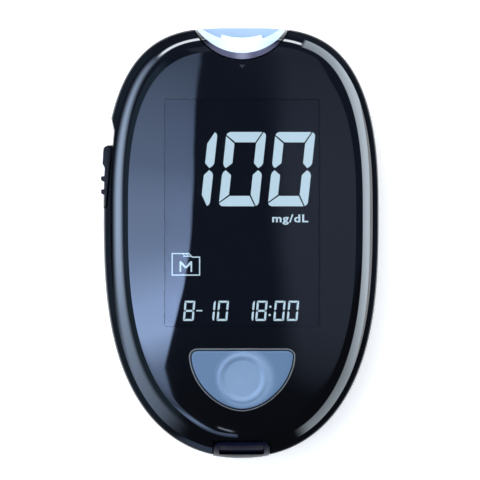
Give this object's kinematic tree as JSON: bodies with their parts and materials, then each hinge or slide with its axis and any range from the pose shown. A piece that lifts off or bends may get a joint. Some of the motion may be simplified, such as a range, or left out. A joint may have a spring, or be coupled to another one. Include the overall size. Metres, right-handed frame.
{
  "type": "blood glucose meter",
  "caption": "Hand-held blood glucose meter: glossy domed face over a display, crescent button, lit test-strip port, side strip ejector, data-port flap and battery door.",
  "frame": {"origin": "centre of the footprint, on the surface that the meter's back rests on", "axes": "+Z out of the face, +Y to the end that takes the test strip, +X to the right as seen from the face"},
  "size_m": [0.0593, 0.092, 0.0221],
  "materials": {
    "black_shell": "moulded ABS with a satin gloss",
    "face_window": "polished acrylic, printed black behind",
    "clear_window": "clear polished acrylic",
    "dark_satin": "fine moulded satin",
    "button_blue": "soft satin, light blue",
    "bright_trim": "bright plated",
    "port_white": "translucent white, lit from inside",
    "bezel_lilac": "smooth moulded",
    "steel": "plain nickel-plated",
    "board_green": "solder mask",
    "display_glass": "dark display glass",
    "milky_plastic": "milky moulded",
    "socket_black": "plain moulded",
    "contact_gold": "gold-plated",
    "cell_jacket": "dark printed jacket",
    "connector_rubber": "silicone",
    "sounder_brass": "plain"
  },
  "bodies": {
    "housing": {"battery_cell_a": "cell_jacket", "battery_cell_b": "cell_jacket", "button_switch": "socket_black", "button_trim": "bright_trim", "buzzer": "sounder_brass", "case_screw_a": "steel", "case_screw_b": "steel", "case_screw_c": "steel", "case_screw_d": "steel", "contact_bridge": "steel", "contact_plate_negative": "steel", "contact_plate_positive": "steel", "contact_spring_a": "steel", "contact_spring_b": "steel", "controller_chip": "socket_black", "cover_hinge_pin": "steel", "data_jack": "steel", "display_window": "clear_window", "ejector_spring": "steel", "face_lens": "face_window", "front_housing": "black_shell", "lcd_connector": "connector_rubber", "lcd_frame": "socket_black", "lcd_panel": "display_glass", "light_guide": "milky_plastic", "main_board": "board_green", "port_lamp": "milky_plastic", "rear_housing": "black_shell", "strip_connector": "socket_black", "strip_contact_left": "contact_gold", "strip_contact_middle": "contact_gold", "strip_contact_right": "contact_gold", "strip_port_bezel": "bezel_lilac", "strip_port_guide": "port_white"},
    "button": {"main_button": "button_blue"},
    "ejector": {"strip_ejector": "dark_satin", "ejector_link": "milky_plastic"},
    "port_cover": {"data_port_cover": "dark_satin"},
    "battery_cover": {"battery_door": "black_shell"}
  },
  "joints": [
    {"name": "main_button_press", "type": "slide", "parent": "housing", "child": "button", "axis": [0, 0, -1], "range_m": [0, 0.0005], "stiffness_N_per_m": 1500},
    {"name": "strip_ejector_slide", "type": "slide", "parent": "housing", "child": "ejector", "axis": [0, 1, 0], "range_m": [0, 0.0045], "stiffness_N_per_m": 200, "deforming": ["ejector_spring"]},
    {"name": "data_port_cover_hinge", "type": "hinge", "parent": "housing", "child": "port_cover", "pos_m": [0, -0.0445, 0.01], "axis": [1, 0, 0], "range_deg": [0, 90]},
    {"name": "battery_door_slide", "type": "slide", "parent": "housing", "child": "battery_cover", "axis": [0, -1, 0], "range_m": [0, 0.062]}
  ]
}
